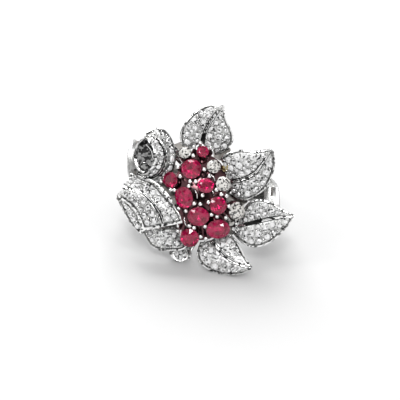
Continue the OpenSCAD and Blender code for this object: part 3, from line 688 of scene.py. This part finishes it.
def tube_side(centre, normal):
    """Says "in" for a face that looks into the rolled leaf's tube, and "out" for its outer wall."""
    here = HEAD_BACK @ centre * 1000  # in millimetres
    way = HEAD_BACK.to_3x3() @ normal
    x = (here.x - TUBE_MIDDLE[0]) / TUBE_RADII[0]
    y = (here.y - TUBE_MIDDLE[1]) / TUBE_RADII[1]
    away = math.hypot(x, y)
    outward = x * way.x + y * way.y
    on_floor = way.z > LOOKS_UP and here.z < TUBE_FLOOR
    if away < INSIDE and here.z < INSIDE_TOP and (outward < LOOKS_IN or on_floor):
        return "in"
    return "out" if away < OUTSIDE and outward > LOOKS_OUT and here.z < OUTSIDE_TOP else ""


print("a run of faces ends at", round(math.degrees(SHARP)), "degrees")

# %% [markdown]
# The vein is sawn through the leaf as a slit. On the leaf's back all faces but the slit's are one
# smooth run, so that run has two borders: the leaf's outline, which is the longest, and the slit's
# edge. What lies close to the slit's edge, as seen from above the leaf, gets painted shade: its
# walls, and the lips where it is widest.

# %% The slits
# In mm: how far under or over a stone's middle a ray to the back or the bed starts, and how
# far it goes
BACK_START, BACK_REACH = 0.6, 1
BED_START, BED_REACH = 0.2, 1.5
# How near to the slit's edge a face gets painted shade, seen from above and in all
DARK_SIDE = 0.34 * MM
DARK_DEPTH = 1.4 * MM
SLIT_STEPS = 4
# Where a leaf's slit starts, in the head's frame, and how much of its length gets a wedge of
# painted shade
WEDGES = {
    "top": (-0.2, 6.5, 1.5, 0.45),
    "lower_right": (6.5, -5.4, 1.9, 0.55),
    "left": (-6.4, -5.2, 4.7, 0.2),
    "rolled": (-9, 2, 3, 0.15),
}


def slit_edges(key):
    """The edges of the slit on a leaf's back, as pairs of points."""
    shape = bmesh.new()
    shape.from_mesh(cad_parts[LEAVES[key][0]].data)
    bmesh.ops.remove_doubles(shape, verts=shape.verts, dist=WELD)
    starts = [(centre - out * BACK_START * MM, out) for centre, out, _ in stones_of[key]]
    back = smooth_run(shape, starts, BACK_REACH * MM)
    border = [edge for edge in shape.edges if sum(face in back for face in edge.link_faces) == 1]
    left, loops = set(border), []
    for first in border:
        todo, loop = [first], []
        while todo:
            edge = todo.pop()
            if edge in left:
                left.discard(edge)
                loop.append(tuple(vert.co.copy() for vert in edge.verts))
                todo.extend(e for vert in edge.verts for e in vert.link_edges)
        if loop:
            loops.append(loop)
    shape.free()
    loops.sort(key=lambda loop: sum((a - b).length for a, b in loop))
    return [pair for loop in loops[:-1] for pair in loop]


def beside_slit(slit, point, out):
    """Whether a point is at the leaf's slit, as it is seen from straight above the leaf."""
    return any(
        (point - end - out * (point - end).dot(out)).length < DARK_SIDE
        and (point - end).length < DARK_DEPTH
        for end in slit
    )


slits = {key: slit_edges(key) for key in LEAVES}
print("edges of the slits:", {key: len(slit) for key, slit in slits.items()})

# %% [markdown]
# Now each leaf is made. The metals are given out face by face, while the mesh still has the large
# faces of its solid. Then creases hold the edges while a subdivision surface rounds the long forms.

# %% Leaves
LEAF_METALS = [
    bright_metal, bed_metal, painted_slit_shade_metal, painted_side_shade_metal, cut_metal, painted_tube_shade_metal, satin_metal
]
# How far a face has to look the stones' way to be an upper one
UPWARD = 0.6
CREASE = 0.82
ROUNDING = 2
LEAF_SHADING = math.radians(40)


def leaf_metal(key, face, out):
    """Which of the leaf's metals a face that isn't in the bed has."""
    side = tube_side(face.calc_center_median(), face.normal) if key == "rolled" else ""
    if side:
        # Inside the tube the metal is painted shade; its outer wall is satin
        return painted_tube_shade_metal if side == "in" else satin_metal
    if face.normal.dot(out) > UPWARD:
        return cut_metal
    # Upright faces get the side metal, which is painted shade
    return painted_side_shade_metal if face.normal.dot(out) > -UPWARD else bright_metal


def leaf(key):
    """One leaf: cut rims and lips, chipped bed, painted slit shade, all edges slightly rounded."""
    node = LEAVES[key][0]
    name = node.replace("leaf_", "leaf_of_").replace("petal_small", "small_petal")
    piece = welded_copy(node, name)
    for material in LEAF_METALS:
        piece.data.materials.append(material)
    shape = bmesh.new()
    shape.from_mesh(piece.data)
    starts = [(centre + out * BED_START * MM, out) for centre, out, _ in stones_of[key]]
    bed = smooth_run(shape, starts, BED_REACH * MM)
    ways = KDTree(len(stones_of[key]))
    for i, (centre, _, _) in enumerate(stones_of[key]):
        ways.insert(centre, i)
    ways.balance()
    slit = [a.lerp(b, k / SLIT_STEPS) for a, b in slits[key] for k in range(SLIT_STEPS)]
    *start, wedge = WEDGES.get(key, (0, 0, 0, 0))
    wedge *= max(((end - on_head(*start)).length for end in slit), default=0)
    for face in shape.faces:
        middle = face.calc_center_median()
        out = stones_of[key][ways.find(middle)[1]][1]
        metal_here = bed_metal if face in bed else leaf_metal(key, face, out)
        front = face not in bed and face.normal.dot(out) > -UPWARD
        # Faces beside the slit, and a wedge at its start, get the slit's painted shade
        if front and beside_slit(slit, middle, out):
            if metal_here is painted_side_shade_metal or (middle - on_head(*start)).length < wedge:
                metal_here = painted_slit_shade_metal
        face.material_index = LEAF_METALS.index(metal_here)
    shape.to_mesh(piece.data)
    shape.free()
    creased(piece, SHARP, CREASE)
    applied(piece, "SUBSURF", levels=ROUNDING, render_levels=ROUNDING)
    bpy.ops.object.shade_smooth_by_angle(angle=LEAF_SHADING)
    print(key, "bed faces:", len(bed))
    return finished(piece, "polished_metal", node)


leaves = {key: leaf(key) for key in LEAVES}

# %% [markdown]
# The vein of a leaf is sawn right through. A thin web of nearly black metal behind it is painted
# shade, so the slit shows as a dark line. The slit's edge on the leaf's back is known by now.
# It is drawn again as loose edges, filled and given a thickness.

# %% Webs of painted shade behind the veins
WEB_THICKNESS = 0.1 * MM
SAME_CORNER = 0.001 * MM
web_shape = bmesh.new()
for slit in slits.values():
    for a, b in slit:
        web_shape.edges.new((web_shape.verts.new(a), web_shape.verts.new(b)))
bmesh.ops.remove_doubles(web_shape, verts=web_shape.verts, dist=SAME_CORNER)
bmesh.ops.contextual_create(web_shape, geom=web_shape.edges[:])
bmesh.ops.recalc_face_normals(web_shape, faces=web_shape.faces)
vein_webs = drawn("vein_webs", web_shape)
vein_webs.data.materials.append(painted_slit_shade_metal)
applied(vein_webs, "SOLIDIFY", thickness=WEB_THICKNESS, offset=0)
finished(vein_webs, "polished_metal")

# %% [markdown]
# A small brilliant is modelled once: a table, two rings of crown facets, a thin girdle and a
# pointed pavilion. It starts as an eight-sided disc, is extruded and scaled up to the table, and
# its underside is drawn down to a point. It is kept as a pattern of corners and faces, one unit
# across. Each stone is that pattern, turned and scaled into its place.

# %% The pattern of a small brilliant
GIRDLE = 0.02
# The crown rises in two steps, and the middle one is this wide
CROWN_STEPS = (0.62, 0.38)
CROWN_MIDDLE = 0.78
TINY = 1e-6


def raised(height):
    """Extrudes what is selected straight up."""
    bpy.ops.mesh.extrude_region_move(TRANSFORM_OT_translate={"value": (0, 0, height)})


def brilliant_pattern(sides, crown, table, pavilion):
    """Corners and faces of a round stone with a girdle of diameter 1 at height 0."""
    bpy.ops.object.select_all(action="DESELECT")
    bpy.ops.mesh.primitive_circle_add(vertices=sides, radius=0.5, fill_type="NGON")
    bpy.ops.object.mode_set(mode="EDIT")
    bpy.ops.mesh.select_all(action="SELECT")
    raised(GIRDLE)
    for share, scale in zip(CROWN_STEPS, (CROWN_MIDDLE, table / CROWN_MIDDLE)):
        raised(share * crown)
        bpy.ops.transform.resize(value=(scale, scale, 1))
        bpy.ops.transform.rotate(
            value=math.pi / sides, orient_axis="Z", center_override=(0, 0, 0)
        )
    bpy.ops.mesh.select_all(action="DESELECT")
    bpy.ops.object.mode_set(mode="OBJECT")
    stone = bpy.context.object
    shape = bmesh.new()
    shape.from_mesh(stone.data)
    low = [f for f in shape.faces if abs(f.calc_center_median().z) < TINY and abs(f.normal.z) > 0.9]
    for face in low:
        bmesh.ops.poke(shape, faces=[face])
    for vert in shape.verts:
        if vert.co.z < TINY and vert.co.xy.length < TINY:
            vert.co.z = -pavilion
    bmesh.ops.recalc_face_normals(shape, faces=shape.faces)
    corners = np.array([vert.co for vert in shape.verts])
    shape.verts.index_update()
    faces = sorted([vert.index for vert in face.verts] for face in shape.faces)
    shape.free()
    bpy.data.objects.remove(stone)
    return corners, faces


small_brilliant = brilliant_pattern(sides=8, crown=0.16, table=0.56, pavilion=0.4)
print("a small brilliant has", len(small_brilliant[1]), "faces")


def scattered(name, pattern, places):
    """One mesh of many copies of a pattern: each place is (middle, way out, turn, size)."""
    corners, faces = pattern
    all_corners, all_faces = [], []
    for centre, out, turn, size in places:
        spin = out.to_track_quat("Z", "Y").to_matrix() @ Matrix.Rotation(turn, 3, "Z")
        start = len(all_corners) * len(corners)
        all_corners.append(corners @ (np.array(spin).T) * size + np.array(centre))
        all_faces.extend([[start + i for i in face] for face in faces])
    mesh = bpy.data.meshes.new(name)
    mesh.from_pydata(np.vstack(all_corners).tolist(), [], all_faces)
    mesh.update()
    piece = bpy.data.objects.new(name, mesh)
    bpy.context.scene.collection.objects.link(piece)
    return piece


# %% [markdown]
# The setter fills a bed from large to small: the main rows first, then ever smaller stones in what
# is left, and last the grains, beads raised from the metal that hold the stones. The same is done
# here with random trials on the bed's own surface. A trial is kept if it is clear of the walls and
# of all that is there already.

# %% Fill each bed with the smallest stones and the grains
# In millimetres
SMALL_SIZES = [0.8, 0.7, 0.62, 0.55]  # the fine stones' diameters
GRAIN = 0.15  # a grain's radius
WALL_GAP = 0.05  # from a stone to the bed's border
STONE_GAP = 0.03  # from one stone to the next
GRAIN_LAP = 0.03  # how far a grain may lap over a stone's edge
MAIN_HEIGHT = 0.42  # a main stone's girdle over the bed
FINE_HEIGHT = 0.28  # a fine stone's girdle over the bed
GRAIN_HEIGHT = 0.34  # a grain's middle over the bed
# Plain numbers
GRAIN_STRETCH = 1.4
ROUND = 6.28  # a full turn
TRIALS = 5000
BORDER_STEPS = 3
BED = LEAF_METALS.index(bed_metal)
rng = random.Random(7)


def bed_trials(piece, count):
    """Random points on the bed with the way out there, and a tree of the points on its border."""
    mesh = piece.data
    faces = [f for f in mesh.polygons if f.material_index == BED]
    areas = [f.area for f in faces]
    trials = []
    for face in rng.choices(faces, weights=areas, k=count):
        a, b, c = (mesh.vertices[i].co for i in rng.sample(list(face.vertices), 3))
        u, v = rng.random(), rng.random()
        if u + v > 1:
            u, v = 1 - u, 1 - v
        trials.append((a + (b - a) * u + (c - a) * v, face.normal.copy()))
    bed_edges, other_edges = set(), set()
    for face in mesh.polygons:
        (bed_edges if face.material_index == BED else other_edges).update(face.edge_keys)
    border = sorted(bed_edges & other_edges)
    tree = KDTree(len(border) * BORDER_STEPS)
    for i, (a, b) in enumerate(border):
        p, q = mesh.vertices[a].co, mesh.vertices[b].co
        for k in range(BORDER_STEPS):
            tree.insert(p.lerp(q, k / BORDER_STEPS), BORDER_STEPS * i + k)
    tree.balance()
    return trials, tree


def fill_bed(key):
    """The fine stones and the grains of one leaf."""
    trials, border = bed_trials(leaves[key], TRIALS)
    taken = [(centre - out * MAIN_HEIGHT * MM, width / 2) for centre, out, width in stones_of[key]]
    fine, grains = [], []

    def free(point, radius, gap):
        if border.find(point)[2] < radius + WALL_GAP * MM:
            return False
        return all((point - other).length > radius + size + gap for other, size in taken)

    for size in SMALL_SIZES:
        radius = size / 2 * MM
        for point, out in trials:
            if free(point, radius, STONE_GAP * MM):
                taken.append((point, radius))
                turn = rng.uniform(0, ROUND)
                fine.append((point + out * FINE_HEIGHT * MM, out, turn, size * MM))
    for point, out in trials:
        if free(point, GRAIN * MM, -GRAIN_LAP * MM):
            taken.append((point, GRAIN * MM))
            grains.append((point + out * GRAIN_HEIGHT * MM, out, 0, GRAIN * MM))
    return fine, grains


bpy.ops.mesh.primitive_ico_sphere_add(subdivisions=2, radius=1)
bead = bpy.context.object
bead_pattern = (
    np.array([v.co for v in bead.data.vertices]) * (1, 1, GRAIN_STRETCH),
    [list(f.vertices) for f in bead.data.polygons],
)
bpy.data.objects.remove(bead)
for key in LEAVES:
    fine, grains = fill_bed(key)
    main = [(centre, out, rng.uniform(0, ROUND), width) for centre, out, width in stones_of[key]]
    stones = scattered("diamonds_" + key, small_brilliant, main)
    stones.data.materials.append(pave_glass)
    finished(stones, "diamond", LEAVES[key][1])
    if fine:
        fine_stones = scattered("fine_diamonds_" + key, small_brilliant, fine)
        fine_stones.data.materials.append(pave_glass)
        finished(fine_stones, "diamond")
    if grains:
        beads = scattered("grains_" + key, bead_pattern, grains)
        beads.data.materials.append(bright_metal)
        only(beads)
        bpy.ops.object.shade_smooth()
        finished(beads, "polished_metal")

# %% [markdown]
# The hoop and the basket under the stones are one casting each. Their solids are exact, so they are
# only shaded smooth. The hoop is worn against skin, so its edges are broken, as a jeweller does
# with a file.

# %% Hoop and basket
BROKEN_EDGE = 0.07 * MM
EDGE_ANGLE = math.radians(40)
CAST_SHADING = math.radians(35)
hoop = welded_copy("shank", "hoop")
hoop.data.materials.append(satin_metal)
applied(
    hoop, "BEVEL", width=BROKEN_EDGE, segments=2, limit_method="ANGLE", angle_limit=EDGE_ANGLE
)
only(hoop)
bpy.ops.object.shade_smooth_by_angle(angle=CAST_SHADING)
finished(hoop, "polished_metal", "shank")
basket = welded_copy("gallery", "basket")
basket.data.materials.append(basket_metal)
only(basket)
bpy.ops.object.shade_smooth_by_angle(angle=CAST_SHADING)
finished(basket, "polished_metal", "gallery")

# %% [markdown]
# Each shoulder is split into two strips from both sides. Between the strips, a little below their
# ends, a bridge holds them at their distance. Its dark metal is painted shade, so the slit looks
# dark.

# %% Bridges in the shoulders' slits
HOOP_SEAT = Vector((0, 1.2, -10)) * MM
HOOP_TURN = math.radians(-4)
BRIDGE_SIZE = Matrix.Diagonal((0.42 * MM, 1.4 * MM, 0.5 * MM, 1))
BRIDGES = [(11.02, -5.15, 9.1), (11.02, -0.69, 9.1)]


def on_hoop(x, y, z, side):
    """A matrix that stands at a point of the hoop's frame, turned to one shoulder or the other."""
    seat = Matrix.Translation(HOOP_SEAT) @ Matrix.Rotation(HOOP_TURN, 4, "Z")
    turn = Matrix.Rotation(math.radians(side), 4, "Z")
    return HEAD @ seat @ turn @ Matrix.Translation(Vector((x, y, z)) * MM)


bridges = []
for side in (0, 180):
    for place in BRIDGES:
        bpy.ops.object.select_all(action="DESELECT")
        bpy.ops.mesh.primitive_cube_add(size=1)
        bridge = bpy.context.object
        bridge.matrix_world = on_hoop(*place, side) @ BRIDGE_SIZE
        bridge.data.materials.append(painted_shade_metal)
        bridges.append(bridge)
shoulder_bridges = one_piece(bridges)
bpy.ops.object.transform_apply(location=True, rotation=True, scale=True)
shoulder_bridges.name = "shoulder_bridges"
finished(shoulder_bridges, "polished_metal")

# %% [markdown]
# A jeweller joins the leaves with wires and webs behind them. From the front they only show as
# brown shade in the notches between two leaves. Each web is a small sheet of dark metal, painted
# shade, drawn corner by corner as the flower is seen, just below the leaves, and given a
# thickness.

# %% Webs in the notches
NOTCH_WEB_THICKNESS = 0.3 * MM
# Which notch, how high in the head's frame, and the corners
WEBS = [
    ("top_notch", 0.9, [(1.6, 5.2), (2.6, 4.6), (4.2, 5.6), (4.3, 6.5), (3.2, 7.2), (1.5, 6.6)]),
    (
        "right_notch",
        0.6,
        [(3.2, 0.2), (4.9, 0.4), (6.6, -1), (7, -1.9), (5.6, -2.8), (4.2, -2.6), (3.3, -1.9)],
    ),
    (
        "left_notch",
        1.2,
        [(-4.2, 3.6), (-4.2, 1.8), (-6.6, 1.9), (-7.4, 1.9), (-6.6, 3.4), (-4.9, 5)],
    ),
    (
        "inner_notch",
        1.7,
        [(-9.2, 2.2), (-7, 2), (-4, 1.2), (-4, -3.4)]
        + [(-5.2, -3.6), (-5.8, -2.4), (-7, -0.8), (-8.3, 0.4)],
    ),
    ("upper_notch", 1.0, [(-2.6, 6.4), (-3.6, 5), (-4.9, 5.2), (-5.2, 7), (-3.6, 7.6)]),
    ("lower_notch", 0.6, [(-4.2, -5.2), (-6.8, -5.7), (-7.2, -6.7), (-4.2, -6.7)]),
    (
        "lower_right_notch",
        0.4,
        [(3.2, -4.2), (4.6, -4.2), (5.6, -5), (5.3, -6.4), (4.4, -7.2), (3.4, -6.6)],
    ),
]
web_shape = bmesh.new()
for name, height, corners in WEBS:
    web_shape.faces.new([web_shape.verts.new(on_head(x, y, height)) for x, y in corners])
webs = drawn("notch_webs", web_shape)
webs.data.materials.append(painted_shade_metal)
applied(webs, "SOLIDIFY", thickness=NOTCH_WEB_THICKNESS, offset=0)
finished(webs, "polished_metal")

# %% [markdown]
# Between the large diamonds and the two right leaves the setter filled the corners with a few odd
# stones, one of them yellowish with age. They sit low, and each is a brilliant of its own size.

# %% Corner stones
CORNER_TURN = 0.4
CORNERS = [
    # x, y and z in the head's frame, and the diameter; the old stone first
    (3.5, 3.45, 2.5, 1.35),
    (3.35, 2.35, 2.2, 0.9),
    (4.35, -5.2, 1.7, 0.95),
    (3.9, -4.55, 1.8, 0.7),
]
corner_places = [
    (on_head(x, y, z), HEAD_OUT, CORNER_TURN, width * MM) for x, y, z, width in CORNERS
]
for name, glass, places in (
    ("old_corner_stone", old_diamond, corner_places[:1]),
    ("corner_stones", diamond_glass, corner_places[1:]),
):
    piece = scattered(name, small_brilliant, places)
    piece.data.materials.append(glass)
    finished(piece, "diamond")

# %% [markdown]
# Along its upper edge the left leaf carries a narrow bright-cut collar that leans in towards the
# rubies. It is a strip between two lines of points: one just under the leaf's edge, one along the
# collar's own edge.

# %% Collar of the left leaf
COLLAR = [
    # a point on the outer line, and the one across from it on the inner line
    ((-9.2, 1.55, 3.2), (-8.8, 2.05, 3.3)),
    ((-7.8, 0.65, 3.8), (-7.2, 1.2, 3.8)),
    ((-6.6, -0.55, 4.3), (-6.2, 0.1, 4.2)),
    ((-5.5, -1.8, 4.6), (-5.15, -1, 4.4)),
    ((-4.6, -2.9, 4.6), (-4.65, -2.3, 4.4)),
]
COLLAR_THICKNESS = 0.25 * MM
COLLAR_EDGE = 0.06 * MM
collar_shape = bmesh.new()
low = [collar_shape.verts.new(on_head(*outer)) for outer, _ in COLLAR]
high = [collar_shape.verts.new(on_head(*inner)) for _, inner in COLLAR]
for a, b, c, d in zip(low, low[1:], high[1:], high):
    collar_shape.faces.new((a, b, c, d))
collar = drawn("left_collar", collar_shape)
collar.data.materials.append(bed_metal)
applied(collar, "SUBSURF", levels=ROUNDING, render_levels=ROUNDING)
applied(collar, "SOLIDIFY", thickness=COLLAR_THICKNESS, offset=0)
applied(collar, "BEVEL", width=COLLAR_EDGE, segments=2)
finished(collar, "polished_metal")

# %% [markdown]
# In the rolled leaf's tube two fine wires show, and a few short ones hold the collets together
# among the stones. They are drawn as curves with a round section and turned into meshes.

# %% Wires in the rolled leaf and among the stones
WIRES = [
    # three points in the head's frame, and the radius
    ([(-10.3, 3.5, 1.8), (-9.4, 4.3, 2.2), (-8.2, 3.7, 1.8)], 0.09),
    ([(-9, 7.2, 3.6), (-8.2, 6.2, 3.3), (-7.85, 4.9, 3)], 0.14),
    ([(-1.6, 0.3, 3.7), (-1.1, -0.5, 4.3), (-1, -1.3, 4.2)], 0.12),
    ([(0.9, 2.6, 3.9), (1.5, 2.1, 4.3), (1.8, 1.4, 4.1)], 0.12),
    ([(1.2, 0.2, 4.2), (1.5, -0.3, 4.4), (1.6, -0.9, 4.1)], 0.1),
    ([(-3, -4.4, 3.6), (-2.9, -5.1, 3.7), (-2.6, -5.8, 3.4)], 0.1),
]


def wire(points, radius):
    """A round wire through three points of the head's frame."""
    bpy.ops.object.select_all(action="DESELECT")
    bpy.ops.curve.primitive_bezier_curve_add()
    piece = bpy.context.object
    line = piece.data.splines[0]
    line.bezier_points.add(len(points) - 2)
    for knot, point in zip(line.bezier_points, points):
        knot.handle_left_type = knot.handle_right_type = "AUTO"
        knot.co = on_head(*point)
    piece.data.dimensions = "3D"
    piece.data.bevel_depth = radius * MM
    piece.data.bevel_resolution = 3
    piece.data.use_fill_caps = True
    bpy.ops.object.convert(target="MESH")
    bpy.ops.object.shade_smooth()
    return bpy.context.object


gallery_wires = one_piece([wire(points, radius) for points, radius in WIRES])
gallery_wires.name = "gallery_wires"
gallery_wires.data.materials.append(bright_metal)
finished(gallery_wires, "polished_metal")

# %% [markdown]
# The thirteen large stones have the right cut already, so their solids stay and only take their
# material. Their facets stay flat.

# %% Large stones
for name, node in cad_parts.items():
    for prefix, glass in (("ruby_", ruby_glass), ("diamond_", diamond_glass)):
        if name.startswith(prefix):
            node.data.materials.clear()
            node.data.materials.append(glass)
            print(name, "is", glass.name)

# %% [markdown]
# Last, every solid that a piece stands for still gets a finish.

# %% Finish
for name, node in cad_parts.items():
    if node.hide_render:
        node.data.materials.clear()
        node.data.materials.append(diamond_glass if name.startswith("pave") else bright_metal)
